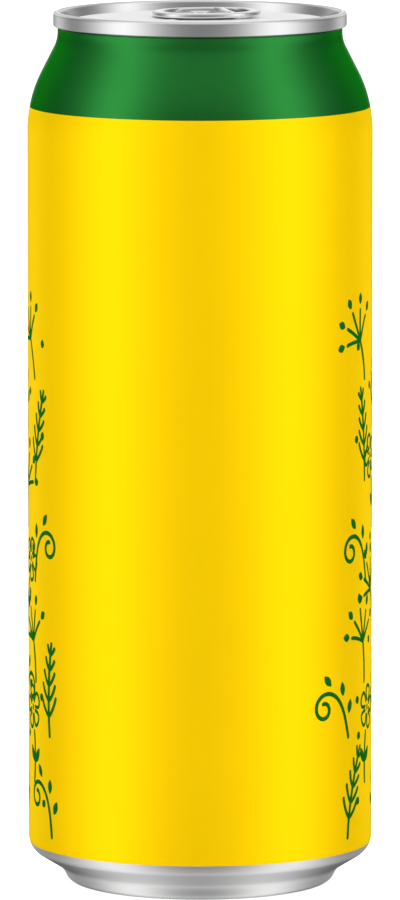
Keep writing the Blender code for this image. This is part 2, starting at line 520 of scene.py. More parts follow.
YELLOW_LACQUER = Lacquer(
    name="yellow lacquer", color=(0.925, 0.59, 0.001), roughness=0.30, roughness_play=0.02,
    metallic=0.56, edge_tint=(0.82, 0.84, 0.02), varnish=0.03,
)
GREEN_LACQUER = Lacquer(
    name="green lacquer", color=(0.026, 0.25, 0.044), roughness=0.14, roughness_play=0.01,
    metallic=0.9, edge_tint=(0.1, 0.5, 0.12),
)
GREEN_INK = Lacquer(
    name="green ink", color=(0.003, 0.09, 0.009), roughness=0.4,
    metallic=0.2, edge_tint=(0.05, 0.8, 0.1), relief_depth=0.003,
)
DRAWN_METAL = BareMetal(
    name="drawn aluminium", color=(0.91, 0.91, 0.905), roughness=0.31,
    grain=Grain.TURNED, relief_depth=0.004,
)
SEAM_METAL = BareMetal(name="seam aluminium", color=(0.9, 0.9, 0.91), roughness=0.22, grain=Grain.TURNED)
PANEL_METAL = BareMetal(
    name="panel aluminium", color=(0.95, 0.95, 0.95), roughness=0.52, roughness_play=0.04, metallic=0.66,
)
TAB_METAL = BareMetal(name="tab aluminium", color=(0.88, 0.88, 0.89), roughness=0.2)
# A dark grey for the tab's web inside its rim: painted shade, standing in for the shadow in the tab's
# hollow
WEB_PAINTED_SHADE = BareMetal(name="pressed web", color=(0.4, 0.4, 0.41), roughness=0.3)
# A near-black for the panel round the rivet: a painted shadow of the tab lying over it
PAINTED_TAB_SHADOW = BareMetal(name="pit under the tab", color=(0.16, 0.16, 0.165), roughness=0.4, metallic=0.8)


def dress(name: str, surface: Surface, slot: str, *finishes: Finish) -> bpy.types.Object:
    """Makes a surface into a piece that rides on the can.

    Args:
        name: The piece's name.
        surface: Its shape in millimetres.
        slot: The record's material slot that it belongs to. Not used.
        *finishes: The finishes of its material slots.

    Returns:
        The new object, at the origin.
    """
    mesh = surface.mesh(name)
    for finish in finishes:
        mesh.materials.append(finish.material())
    piece = placed(name, mesh)
    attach(piece, BODY)
    log.info("%s: %d points, %d faces", name, len(mesh.vertices), len(mesh.polygons))
    return piece


def face_centres(piece: bpy.types.Object) -> tuple[np.ndarray, np.ndarray, np.ndarray]:
    """Where the faces of a piece lie.

    Args:
        piece: A piece at the origin.

    Returns:
        The x, y and z of the middle of each face, in millimetres.
    """
    centres = np.empty(len(piece.data.polygons) * 3, np.float32)
    piece.data.polygons.foreach_get("center", centres)
    return tuple(centres.reshape(-1, 3).T / MM)


# The can's pieces


@dataclass
class CanBody:
    """The drawn body: neck, shoulder, wall, base corner, stand and dome."""

    radius: float
    lip_z: float
    neck_radius: float = 27.27
    lip_width: float = 0.25
    well_radius: float = 26.3
    well_depth: float = 3.2
    shoulder_corner_z: float = 151.3
    shoulder_bend: float = 25.4
    neck_corner_z: float = 162.74
    neck_bend: float = 6.1
    band_z: float = 149.96
    bare_z: float = 7.93
    base_corner_z: float = 6.78
    base_bend: float = 3.93
    step_radius: float = 26.62
    step_z: float = 2.85
    step_bend: float = 4.13
    stand_outer_radius: float = 25.24
    stand_outer_bend: float = 2.35
    stand_inner_radius: float = 21.9
    stand_inner_bend: float = 1.1
    dome_edge_radius: float = 21.5
    dome_edge_z: float = 4.3
    dome_edge_bend: float = 1.4
    dome_radius: float = 42.0
    dome_rings: int = 24
    around: int = 256
    row_gap: float = 3.0

    def outline(self) -> np.ndarray:
        """The body's outline from the well under the end, over the wall, to the top of the dome.

        The dome is part of a sphere: it stands above its edge by the difference of
        sqrt(R^2 - r^2) at radius r and at the edge.

        Returns:
            Rows of radius and height, cut where a coat ends.
        """
        spans = np.linspace(self.dome_edge_radius, 0, self.dome_rings)[1:]
        edge_height = math.sqrt(self.dome_radius**2 - self.dome_edge_radius**2)
        rise = np.sqrt(self.dome_radius**2 - spans**2) - edge_height
        dome = np.stack([spans, self.dome_edge_z + rise], axis=-1)
        corners = [
            Corner(0, self.lip_z - self.well_depth),
            Corner(self.well_radius, self.lip_z - self.well_depth),
            Corner(self.neck_radius - self.lip_width, self.lip_z),
            Corner(self.neck_radius, self.lip_z),
            Corner(self.neck_radius, self.neck_corner_z, self.neck_bend, 10),
            Corner(self.radius, self.shoulder_corner_z, self.shoulder_bend, 18),
            Corner(self.radius, self.base_corner_z, self.base_bend, 12),
            Corner(self.step_radius, self.step_z, self.step_bend, 8),
            Corner(self.stand_outer_radius, 0, self.stand_outer_bend, 10),
            Corner(self.stand_inner_radius, 0, self.stand_inner_bend, 8),
            Corner(self.dome_edge_radius, self.dome_edge_z, self.dome_edge_bend, 8),
            Corner(*dome[0]),
        ]
        path = np.concatenate([rounded_path(corners), dome[1:]])
        return cut_at(cut_at(divided(path, self.row_gap), self.band_z), self.bare_z)

    def build(self) -> bpy.types.Object:
        """Builds the body and gives each zone of it its coat.

        Returns:
            The body's object, which replaces its plain solid.
        """
        surface = turned_surface(self.outline(), self.around)
        finishes = (YELLOW_LACQUER, GREEN_LACQUER, DRAWN_METAL)
        piece = dress("lacquered_body", surface, "yellow_lacquer", *finishes)
        height = face_centres(piece)[2]
        coats = np.where(height > self.band_z, Coat.GREEN.value, Coat.YELLOW.value)
        coats = np.where(height < self.bare_z, Coat.BARE.value, coats).astype(np.int32)
        piece.data.polygons.foreach_set("material_index", coats)
        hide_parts("can_body")
        return piece


@dataclass
class CanEnd:
    """The end: double seam, chuck wall, countersink, and a panel with its relief and rivet."""

    seam_radius: float
    crown_z: float
    seam_foot_z: float
    underside_z: float
    seam_inner_radius: float = 26.8
    seam_bend: float = 0.62
    seam_lower_bend: float = 0.35
    hang_radius: float = 26.72
    foot_radius: float = 26.27
    chuck_wall_radius: float = 25.85
    countersink_depth: float = 4.7
    countersink_inner_radius: float = 24.95
    countersink_bend: float = 0.42
    panel_depth: float = 1.75
    panel_radius: float = 24.75
    panel_bend: float = 0.5
    panel_bulge: float = 0.72
    bulge_rings: int = 16
    rivet_stem_radius: float = 1.4
    rivet_head_radius: float = 1.9
    rivet_head_depth: float = 0.1
    rivet_head_thickness: float = 0.42
    rivet_head_bend: float = 0.16
    rivet_dish_radius: float = 1.2
    rivet_dish_depth: float = 0.1
    rivet_dish_slope: float = 0.3
    rivet_dish_bend: float = 0.4
    rivet_rim_bend: float = 0.2
    rivet_under_bend: float = 0.1
    rivet_foot_bend: float = 0.15
    rivet_margin: float = 0.3
    flat_width: float = 1.0
    turn: float = math.radians(11)
    mouth_x: float = -12.8
    mouth_reach: float = 10.0
    mouth_width: float = 22.0
    score_depth: float = 0.11
    score_width: float = 0.2
    bead_inset: float = 1.7
    bead_height: float = 0.12
    bead_width: float = 0.5
    recess_x: float = -1.4
    recess_reach: float = 22.2
    recess_half_width: float = 15.2
    recess_narrowing: float = 0.32
    narrow_from_x: float = -12.0
    narrow_run: float = 30.0
    recess_depth: float = 0.07
    recess_size: float = 18.0
    recess_ramp: float = 0.7
    well_x: float = 13.2
    well_reach: float = 5.6
    well_squeeze: float = 0.86
    well_slope: float = 1.6
    well_depth: float = 0.35
    calm_radius: float = 3.0
    calm_run: float = 1.5
    # How far from the axis the painted shadow under the tab reaches
    painted_shadow_radius: float = 4.0
    around: int = 384
    panel_gap: float = 0.26
    point_slack: float = 0.02
    face_slack: float = 0.01
    under_slack: float = 1.0

    def panel_height(self, radius: np.ndarray | float) -> np.ndarray | float:
        """The plain panel's height, bulged by the drink's pressure as 1 - (r / R)^4.

        Args:
            radius: The distance from the axis.

        Returns:
            The height there.
        """
        return self.crown_z - self.panel_depth + self.panel_bulge * (1 - (radius / self.panel_radius) ** 4)

    def outline(self) -> np.ndarray:
        """The end's outline from the rivet's top, over the panel and the seam, to the underside.

        Returns:
            Rows of radius and height.
        """
        panel_z = self.crown_z - self.panel_depth
        foot_z = float(self.panel_height(self.rivet_stem_radius))
        head_z = self.crown_z - self.rivet_head_depth
        under_z = head_z - self.rivet_head_thickness
        groove_z = self.crown_z - self.countersink_depth
        rivet = [
            Corner(0, head_z - self.rivet_dish_depth),
            Corner(
                self.rivet_dish_radius - self.rivet_dish_slope,
                head_z - self.rivet_dish_depth,
                self.rivet_dish_bend,
                3,
            ),
            Corner(self.rivet_dish_radius, head_z, self.rivet_rim_bend, 3),
            Corner(self.rivet_head_radius, head_z, self.rivet_head_bend, 4),
            Corner(self.rivet_head_radius, under_z, self.rivet_under_bend, 2),
            Corner(self.rivet_stem_radius, under_z, self.rivet_under_bend, 2),
            Corner(self.rivet_stem_radius, foot_z, self.rivet_foot_bend, 3),
            Corner(self.rivet_stem_radius + self.flat_width, foot_z),
        ]
        first, last = self.rivet_stem_radius + self.flat_width, self.panel_radius - self.flat_width
        rings = np.linspace(first, last, self.bulge_rings)
        panel = [
            *(Corner(float(ring), float(self.panel_height(ring))) for ring in rings),
            Corner(self.panel_radius, panel_z, self.panel_bend, 6),
            Corner(self.countersink_inner_radius, groove_z, self.countersink_bend, 6),
            Corner(self.chuck_wall_radius, groove_z, self.countersink_bend, 6),
            Corner(self.seam_inner_radius, self.crown_z, self.seam_bend, 10),
            Corner(self.seam_radius, self.crown_z, self.seam_bend, 10),
            Corner(self.seam_radius, self.seam_foot_z, self.seam_lower_bend, 5),
            Corner(self.hang_radius, self.seam_foot_z),
        ]
        under = np.array([[self.foot_radius, self.underside_z], [0, self.underside_z]])
        top = divided(rounded_path(rivet), self.panel_gap)
        return np.concatenate([top[:-1], divided(rounded_path(panel), self.panel_gap), under])

    def relief(self, x: np.ndarray, y: np.ndarray) -> np.ndarray:
        """How far the panel's relief lifts each of its points.

        The mouth is an ellipse. The score is a narrow dip and the bead a low ridge, each a bell curve of
        the distance from an ellipse. The recess is a step down inside an egg round mouth and tab, and the
        finger well is a bowl under the tab's heel. All of it fades out round the rivet.

        Args:
            x: The points' places to the right of the rivet.
            y: The points' places behind it.

        Returns:
            The lift of each point.
        """
        x, y = turned_by(x, y, -self.turn)
        along = (x - self.mouth_x) / self.mouth_reach
        across = y / (self.mouth_width / 2)
        share = np.hypot(along, across)
        size = np.hypot(x - self.mouth_x, y) / np.maximum(share, TINY)
        outside = (share - 1) * size
        score = -self.score_depth * np.exp(-((outside / self.score_width) ** 2))
        bead = self.bead_height * np.exp(-(((outside + self.bead_inset) / self.bead_width) ** 2))
        narrow = 1 - self.recess_narrowing * smooth_step((x - self.narrow_from_x) / self.narrow_run)
        egg = np.hypot((x - self.recess_x) / self.recess_reach, y / (self.recess_half_width * narrow))
        recess = -self.recess_depth * smooth_step((1 - egg) * self.recess_size / self.recess_ramp)
        bowl = np.hypot(x - self.well_x, y * self.well_squeeze) / self.well_reach
        well = -self.well_depth * smooth_step((1 - bowl) * self.well_slope)
        calm = smooth_step((np.hypot(x, y) - self.calm_radius) / self.calm_run)
        return (score + bead + recess + well) * calm

    def build(self) -> bpy.types.Object:
        """Builds the end, works the relief into its panel, gives the panel its own metal and paints the
        tab's shadow near the rivet near-black.

        Returns:
            The end's object, which replaces its plain solid.
        """
        surface = turned_surface(self.outline(), self.around)
        points = surface.points
        out = np.hypot(points[:, 0], points[:, 1])
        rim = self.panel_radius - self.panel_bend
        on_panel = (out > self.rivet_stem_radius + self.rivet_margin) & (out < rim)
        on_panel &= np.abs(points[:, 2] - self.panel_height(out)) < self.point_slack
        lift = self.relief(points[on_panel, 0], points[on_panel, 1])
        points[on_panel, 2] = self.panel_height(out[on_panel]) + lift
        piece = dress("seamed_end", surface, "end_metal", SEAM_METAL, PANEL_METAL, PAINTED_TAB_SHADOW)
        x, y, height = face_centres(piece)
        out = np.hypot(x, y)
        top = self.panel_height(out) + self.bead_height
        on_panel = (out < rim) & (height > self.underside_z + self.under_slack)
        on_panel &= height < top + self.face_slack
        # Panel faces round the rivet, under the tab, get the painted shadow
        in_painted_shadow = on_panel & (out < self.painted_shadow_radius) & (height < top)
        piece.data.polygons.foreach_set("material_index", on_panel.astype(np.int32) + in_painted_shadow)
        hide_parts("can_end")
        return piece


@dataclass
class PullTab:
    """The stay-on tab: two sheets that meet at every edge, on rays that spread from the rivet."""

    middle_z: float
    nose_reach: float = 9.2
    heel_reach: float = 11.7
    width: float = 17.4
    widest_x: float = 1.2
    roundness: float = 2.15
    tilt: float = math.radians(0.2)
    turn: float = math.radians(11)
    half_thickness: float = 0.46
    curl_width: float = 2.2
    curl_bend: float = 0.3
    curl_squareness: float = 2.4
    curl_foot: float = 0.18
    rim_dome: float = 0.1
    wall_run: float = 0.5
    bar_width: float = 1.5
    hole_radius: float = 1.75
    slot_inner: float = 2.15
    slot_outer: float = 3.5
    slot_reach: float = math.radians(138)
    slot_end: float = math.radians(7.7)
    finger_x: float = 5.9
    finger_reach: float = math.radians(41)
    finger_end: float = math.radians(14)
    rim_clearance: float = 0.8
    web_top: float = -0.16
    web_thickness: float = 0.22
    island_top: float = -0.3
    bead_radius: float = 4.5
    bead_width: float = 0.62
    bead_height: float = 0.26
    nose_bead_height: float = 0.34
    groove_depth: float = 0.14
    groove_width: float = 0.4
    nose_from: float = math.radians(112)
    nose_run: float = math.radians(14)
    # Which faces take the web's painted shade: inside this share of the outline, and below this height
    # above the middle
    shaded_web_share: float = 0.83
    shaded_web_ceiling: float = 0.3
    side_rays: int = 36
    end_rays: int = 16
    island_rings: int = 9
    web_rings: int = 28
    rim_rings: int = 26
    bisections: int = 40
    weld: float = 1e-5

    @property
    def slot_middle(self) -> float:
        """The distance of the slot's middle line from the rivet."""
        return (self.slot_inner + self.slot_outer) / 2

    def rays(self) -> np.ndarray:
        """The rays' angles, close together where an opening ends.

        Returns:
            Angles from just over -pi to pi.
        """
        ease = np.sin(np.linspace(0, 1, self.side_rays + 1)[1:] * math.pi / 2)
        inner = self.finger_reach * ease
        outer = self.finger_reach + (self.slot_reach - self.finger_reach) * ease
        beyond = self.slot_reach + (math.pi - self.slot_reach) * np.linspace(0, 1, self.end_rays + 1)[1:]
        half = np.concatenate([inner, outer, beyond])
        return np.concatenate([-half[:-1][::-1], [0.0], half])

    def edge(self, angle: np.ndarray) -> np.ndarray:
        """The distance from the rivet to the tab's outline along each ray.

        The outline is |x / a|^n + |y / b|^n = 1 about its widest line, with a different a to the nose and
        to the heel. Bisection finds where each ray crosses it.

        Args:
            angle: The rays' angles.

        Returns:
            The distance along each ray.
        """
        low = np.zeros_like(angle)
        high = np.full_like(angle, self.heel_reach + self.width)
        for _ in range(self.bisections):
            reach = (low + high) / 2
            inside = self.outline_share(reach * np.cos(angle), reach * np.sin(angle)) < 1
            low = np.where(inside, reach, low)
            high = np.where(inside, high, reach)
        return (low + high) / 2

    def outline_share(self, x: np.ndarray, y: np.ndarray) -> np.ndarray:
        """How far out points lie, as a share of the way from the tab's middle to its outline.

        Args:
            x: The points' places along the tab.
            y: The points' places across it.

        Returns:
            The share at each point, 1 on the outline.
        """
        side = np.where(x > self.widest_x, self.heel_reach - self.widest_x, self.nose_reach + self.widest_x)
        along = np.abs((x - self.widest_x) / side) ** self.roundness
        across = np.abs(y / (self.width / 2)) ** self.roundness
        return (along + across) ** (1 / self.roundness)

    @staticmethod
    def closing(angle: np.ndarray, reach: float, end: float) -> np.ndarray:
        """How wide an opening is at each ray: 1 along it, and the quarter of an ellipse at its ends."""
        past = np.clip((np.abs(angle) - (reach - end)) / end, 0, 1)
        return np.sqrt(1 - past**2)

    def stations(self, angle: np.ndarray) -> list[np.ndarray]:
        """The distances of all points from the rivet, in three zones that share the openings' edges.

        Zones run from the rivet hole to the slot, from the slot to the finger hole and from there to the
        outline. Within a zone the points crowd towards both edges, as (1 - cos) does.

        Args:
            angle: The rays' angles.

        Returns:
            One array of distances for each zone, with a row for each ray.
        """
        open_slot = self.closing(angle, self.slot_reach, self.slot_end)
        slot_half = (self.slot_outer - self.slot_inner) / 2 * open_slot
        outer = self.edge(angle)
        near = self.finger_x / np.cos(np.clip(angle, -self.finger_reach, self.finger_reach))
        far = outer - self.curl_width
        at_end = float(np.interp(self.finger_reach, angle, near + far)) / 2
        beyond = np.abs(angle) >= self.finger_reach
        farthest = outer - self.curl_width * self.rim_clearance
        middle = np.where(beyond, np.minimum(at_end, farthest), (near + far) / 2)
        wide = self.closing(angle, self.finger_reach, self.finger_end) * ~beyond
        hole_in = middle - (middle - near) * wide
        hole_out = middle + (far - middle) * wide
        spans = [
            (np.full_like(angle, self.hole_radius), self.slot_middle - slot_half, self.island_rings),
            (self.slot_middle + slot_half, hole_in, self.web_rings),
            (hole_out, outer, self.rim_rings),
        ]
        zones = []
        for start, stop, count in spans:
            share = (1 - np.cos(np.linspace(0, math.pi, count))) / 2
            zones.append(start[:, None] + (stop - start)[:, None] * share)
        return zones

    def sheets(
        self, x: np.ndarray, y: np.ndarray, edges: dict[str, np.ndarray]
    ) -> tuple[np.ndarray, np.ndarray]:
        """The heights of the upper and the lower sheet above the tab's middle.

        The curled rim, which is domed a little, and the bar beside the finger hole are thick. The web is
        thin and lies low, and the rivet's island lies lower still. A bead runs all round the web, higher
        on the nose's side, where a groove runs on from the slot. Both are bell curves of the distance from
        the rivet. Towards an open edge the sheets close on each other near the lower one, as
        (1 - (1 - d)^n)^(1 / n) does, with d the distance as a share of the curl's bend.

        Args:
            x: The points' places along the tab.
            y: The points' places across it.
            edges: The distance of each point from the outline, the finger hole and any open edge.

        Returns:
            The upper and the lower heights.
        """
        out = np.hypot(x, y)
        rim = 1 - smooth_step((edges["outline"] - self.curl_width) / self.wall_run + 0.5)
        bar = 1 - smooth_step((edges["finger"] - self.bar_width) / self.wall_run + 0.5)
        thick = np.maximum(rim, bar)
        island = 1 - smooth_step((out - self.slot_inner) / self.wall_run)
        nose_side = smooth_step((np.abs(np.arctan2(y, x)) - self.nose_from) / self.nose_run)
        ridge = np.exp(-(((out - self.bead_radius) / self.bead_width) ** 2))
        bead = (self.bead_height + self.nose_bead_height * nose_side) * ridge
        groove = self.groove_depth * np.exp(-(((out - self.slot_middle) / self.groove_width) ** 2))
        upper = self.web_top + (self.island_top - self.web_top) * island + bead - groove * nose_side
        lower = upper - self.web_thickness
        upper = upper + (self.half_thickness - upper) * thick
        lower = lower + (-self.half_thickness - lower) * thick
        crest = np.clip(1 - edges["outline"] / (self.curl_width / 2), 0, 1)
        upper = upper - self.rim_dome * crest**2
        foot = lower + (upper - lower) * self.curl_foot
        near = np.clip(edges["open"] / np.minimum((upper - lower) / 2, self.curl_bend), 0, 1)
        opened = (1 - (1 - near) ** self.curl_squareness) ** (1 / self.curl_squareness)
        lean = x * math.tan(self.tilt)
        return foot + (upper - foot) * opened + lean, foot + (lower - foot) * opened + lean

    def surface(self) -> Surface:
        """Lays out both sheets on the rays and welds them along every edge.

        Returns:
            The closed surface of the tab.
        """
        angle = self.rays()
        zones = self.stations(angle)
        bearing = np.stack([np.cos(angle), np.sin(angle)], axis=-1)[:, None]
        plans = [zone[:, :, None] * bearing for zone in zones]
        rivet, slot_in = plans[0][:, 0], plans[0][:, -1]
        slot_out, finger_in = plans[1][:, 0], plans[1][:, -1]
        finger_out, outline = plans[2][:, 0], plans[2][:, -1]
        slotted = np.abs(angle) < self.slot_reach + TINY
        holed = np.abs(angle) < self.finger_reach + TINY
        finger = np.concatenate([finger_in[holed], finger_out[holed]])
        opened = np.concatenate([rivet, slot_in[slotted], slot_out[slotted], finger, outline])
        parts = []
        for plan in plans:
            flat = plan.reshape(-1, 2)
            edges = {
                "outline": nearest(flat, outline),
                "finger": nearest(flat, finger),
                "open": nearest(flat, opened),
            }
            upper, lower = self.sheets(flat[:, 0], flat[:, 1], edges)
            quads = ring_faces(plan.shape[1], len(angle))
            order = np.arange(len(flat)).reshape(len(angle), -1).T.reshape(-1)
            place = turned_by(flat[:, 0], flat[:, 1], self.turn)
            for height, faces in ((upper, quads), (lower, quads[:, ::-1])):
                points = np.column_stack([*place, height + self.middle_z])[order]
                parts.append(Surface(points, faces, NO_TRIANGLES))
        return welded(joined(parts), self.weld).facing_out()

    def build(self) -> bpy.types.Object:
        """Builds the tab and gives the low faces inside its rim a dark grey, painted shade for the hollow
        of the web.

        Returns:
            The tab's object, which replaces its plain solid.
        """
        piece = dress("pull_tab", self.surface(), "tab_metal", TAB_METAL, WEB_PAINTED_SHADE)
        x, y, height = face_centres(piece)
        # Low faces inside the rim are painted with shade
        low = height < self.middle_z + self.shaded_web_ceiling
        inside = self.outline_share(*turned_by(x, y, -self.turn)) < self.shaded_web_share
        piece.data.polygons.foreach_set("material_index", (low & inside).astype(np.int32))
        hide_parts("tab")
        return piece


# The print round the sides

# A curve has this many points, and one more for each such turn in degrees
FEWEST_POINTS = 6
TURN_OF_A_STEP = 14

# How far from a stroke's tip the points of its route start, as a multiple of the reach of its end's points,
# the power that gives a pointed stroke its outline, and the least half width of any stroke
CAP_CLEARANCE = 1.2
POINT_FULLNESS = 0.8
LEAST_HALF_WIDTH = 0.03


class Tip(Enum):
    """How a line of ink ends, with how far from its tip the points there lie.

    That is in half widths of the line for a round end, and in shares of its length for a pointed one.
    """

    ROUND = (0.0, 0.08, 0.3, 0.65)
    POINTED = (0.0, 0.1, 0.25)


class Stroke(NamedTuple):
    """A line of ink on the unrolled wall: its route, its width and how it ends."""

    route: np.ndarray
    width: float
    tip: Tip = Tip.ROUND


def arc(
    start: np.ndarray, heading: float, length: float, bend: float = 0.0, ease: float = 1.0
) -> np.ndarray:
    """A curved route, as the running sum of short steps whose heading turns as share ** ease.

    Args:
        start: Where it starts.
        heading: Its first heading in degrees, from upwards towards the right.
        length: Its length.
        bend: How far it turns in all, in degrees.
        ease: Above 1 the turn gathers towards the end, as a tendril's does.

    Returns:
        Points as rows of place across and height.
    """
    count = FEWEST_POINTS + int(abs(bend) / TURN_OF_A_STEP)
    share = np.linspace(0, 1, count)
    middle = (share[1:] + share[:-1]) / 2
    turned = np.radians(heading + bend * middle**ease)
    steps = np.stack([np.sin(turned), np.cos(turned)], axis=-1) * length / (count - 1)
    return np.concatenate([start[None], start + np.cumsum(steps, axis=0)])


def unit(heading: float) -> np.ndarray:
    """The step of length 1 on a heading in degrees: (sin, cos)."""
    return np.array([math.sin(math.radians(heading)), math.cos(math.radians(heading))])


def heading_at(route: np.ndarray, share: float) -> tuple[np.ndarray, float]:
    """Where a route is and how it runs at a share of its length.

    Args:
        route: Points at even distances.
        share: The share of the route's length.

    Returns:
        The point there, and the heading in degrees.
    """
    last = len(route) - 1
    whole = min(int(share * last), last - 1)
    step = route[whole + 1] - route[whole]
    return route[whole] + step * (share * last - whole), math.degrees(math.atan2(step[0], step[1]))


class Shoot(NamedTuple):
    """A short line of a motif: its splay from the stem and its bend back, in degrees, and its size.

    Each further one on a stem is shorter by the loss. The width is a share of the print's plain line.
    """

    splay: float
    bend: float
    length: float
    loss: float
    width: float
    tip: Tip = Tip.POINTED


BARB = Shoot(52.0, 34.0, 3.3, 0.42, 0.95, Tip.ROUND)
LEAF = Shoot(48.0, 20.0, 2.6, 0.0, 2.1)
RIB = Shoot(27.0, -9.0, 4.6, 0.35, 0.9, Tip.ROUND)
RIB_SEED = Shoot(0.0, 0.0, 1.5, 0.0, 1.9)
VINE_SEED = Shoot(35.0, 0.0, 1.9, 0.0, 1.9)
LOOSE_SEED = Shoot(40.0, 0.0, 1.7, 0.0, 1.9)


@dataclass
class SidePrint:
    """A green line print of fronds, blossoms, fans and tendrils in staggered columns round the sides."""

    radius: float
    line: float = 0.84
    motif_scale: float = 1.5
    lift: float = 0.015
    lift_step: float = 0.0012
    lift_count: int = 9
    front_gap: float = 34.2
    columns: int = 19
    row_step: float = 19.5
    floor_z: float = 10.5
    low_top_z: float = 62.0
    high_top_z: float = 122.0
    rise: float = 7.0
    headroom: float = 15.0
    seed: int = 7
    lean_play: float = 16.0
    bends: tuple[float, float] = (14.0, 30.0)
    across_play: float = 0.7
    frond_length: float = 12.5
    barb_shares: tuple[float, float, int] = (0.22, 0.86, 5)
    blossom_length: float = 7.0
    leaf_share: float = 0.4
    head_gap: float = 2.9
    petals: int = 5
    petal_root: float = 0.5
    petal_reach: float = 2.3
    petal_swing: float = 0.95
    petal_opening: float = 0.12
    petal_points: int = 15
    petal_width: float = 0.85
    dot: float = 0.84
    fan_length: float = 5.5
    ribs_a_side: int = 2
    rib_seed_gap: float = 0.5
    vine_length: float = 17.0
    vine_wind: float = 470.0
    vine_ease: float = 2.6
    vine_seed_shares: tuple[float, ...] = (0.18, 0.32, 0.46)
    seed_across: float = 3.9
    seed_heights: tuple[float, float] = (5.0, 9.0)

    def shoot(self, kind: Shoot, at: np.ndarray, heading: float, side: int, rank: int = 0) -> Stroke:
        """A short line that leaves a stem.

        Args:
            kind: What it is.
            at: Where it starts.
            heading: The stem's heading there in degrees.
            side: What its splay and bend are multiplied by, below 0 to the left.
            rank: How many of its kind come before it.

        Returns:
            Its stroke.
        """
        length = kind.length - kind.loss * rank
        route = arc(at, heading + side * kind.splay, length, -side * kind.bend)
        return Stroke(route, self.line * kind.width, kind.tip)

    def frond(self, at: np.ndarray, lean: float, bend: float) -> list[Stroke]:
        """A curved stem with pairs of barbs that grow shorter towards its tip.

        Args:
            at: The foot of its stem.
            lean: The stem's first heading in degrees.
            bend: How far the stem turns, in degrees.

        Returns:
            Its strokes.
        """
        stem = arc(at, lean, self.frond_length, bend)
        strokes = [Stroke(stem, self.line)]
        for k, share in enumerate(np.linspace(*self.barb_shares)):
            place, heading = heading_at(stem, float(share))
            strokes += [self.shoot(BARB, place, heading, side, k) for side in (-1, 1)]
        return strokes

    def blossom(self, at: np.ndarray, lean: float, bend: float) -> list[Stroke]:
        """A stalk with two small leaves and a head of looped petals round a dot.

        A petal runs out and back as L sin t while it swings across as B sin 2t.

        Args:
            at: The foot of its stem.
            lean: The stem's first heading in degrees.
            bend: How far the stem turns, in degrees.

        Returns:
            Its strokes.
        """
        stem = arc(at, lean, self.blossom_length, bend)
        strokes = [Stroke(stem, self.line)]
        place, heading = heading_at(stem, self.leaf_share)
        strokes += [self.shoot(LEAF, place, heading, side) for side in (-1, 1)]
        centre = arc(stem[-1], lean + bend, self.head_gap)[-1]
        t = np.linspace(self.petal_opening, math.pi - self.petal_opening, self.petal_points)[:, None]
        turn = 360 / self.petals
        for k in range(self.petals):
            out = unit(lean + bend + 180 + turn / 2 + turn * k)
            across = np.array([out[1], -out[0]])
            petal = centre + self.petal_root * out
            petal = petal + np.sin(t) * out * self.petal_reach + np.sin(2 * t) * across * self.petal_swing
            strokes.append(Stroke(petal, self.line * self.petal_width))
        strokes.append(Stroke(arc(centre - np.array([0, self.dot / 2]), 0, self.dot), self.dot))
        return strokes

    def fan(self, at: np.ndarray, lean: float, bend: float) -> list[Stroke]:
        """A stalk under a fan of ribs whose ends carry small seeds.

        Args:
            at: The foot of its stem.
            lean: The stem's first heading in degrees.
            bend: How far the stem turns, in degrees.

        Returns:
            Its strokes.
        """
        stem = arc(at, lean, self.fan_length, bend)
        strokes = [Stroke(stem, self.line)]
        for k in range(-self.ribs_a_side, self.ribs_a_side + 1):
            rib = self.shoot(RIB, stem[-1], lean + bend, k, abs(k))
            tip, heading = heading_at(rib.route, 1.0)
            foot = tip + self.rib_seed_gap * (tip - stem[-1]) / RIB.length
            strokes += [rib, self.shoot(RIB_SEED, foot, heading, 0)]
        return strokes

    def tendril(self, at: np.ndarray, lean: float, bend: float) -> list[Stroke]:
        """A stalk that winds into a spiral one way or the other, with seeds along its outer side.

        Args:
            at: The foot of its stem.
            lean: The stem's first heading in degrees.
            bend: Above 0 where it winds to the right.

        Returns:
            Its strokes.
        """
        side = 1 if bend > 0 else -1
        vine = arc(at, lean, self.vine_length, side * self.vine_wind, self.vine_ease)
        strokes = [Stroke(vine, self.line)]
        for share in self.vine_seed_shares:
            place, heading = heading_at(vine, share)
            strokes.append(self.shoot(VINE_SEED, place + unit(heading - side * 90), heading, -side))
        return strokes

    def strokes(self) -> list[Stroke]:
        """Every line of the print, column by column, from one side of the bare front round to the other.

        Columns are evenly spaced and every other one starts half a row higher. The print's upper edge
        rises from the front towards the sides, and the four motifs take turns.

        Returns:
            The strokes on the unrolled wall, measured from the middle of the front.
        """
        draw = np.random.default_rng(self.seed)
        motifs = (self.frond, self.blossom, self.tendril, self.fan)
        whole = math.tau * self.radius
        strokes = []
        for column, across in enumerate(np.linspace(self.front_gap, whole - self.front_gap, self.columns)):
            from_front = min(across, whole - across) - self.front_gap
            top = min(self.low_top_z + from_front * self.rise, self.high_top_z)
            start = self.floor_z + (column % 2) * self.row_step / 2
            for row, height in enumerate(np.arange(start, top - self.headroom, self.row_step)):
                lean = draw.uniform(-self.lean_play, self.lean_play)
                bend = draw.choice([-1, 1]) * draw.uniform(*self.bends)
                at = np.array([across + draw.uniform(-self.across_play, self.across_play), height])
                for stroke in motifs[(column + 2 * row + row // 2) % len(motifs)](at, lean, bend):
                    strokes.append(stroke._replace(route=at + (stroke.route - at) * self.motif_scale))
                aside = draw.choice([-1, 1]) * self.seed_across
                seed = at + np.array([aside, draw.uniform(*self.seed_heights)])
                way = draw.uniform(-LOOSE_SEED.splay, LOOSE_SEED.splay)
                strokes.append(self.shoot(LOOSE_SEED, seed, way, 0))
        return strokes

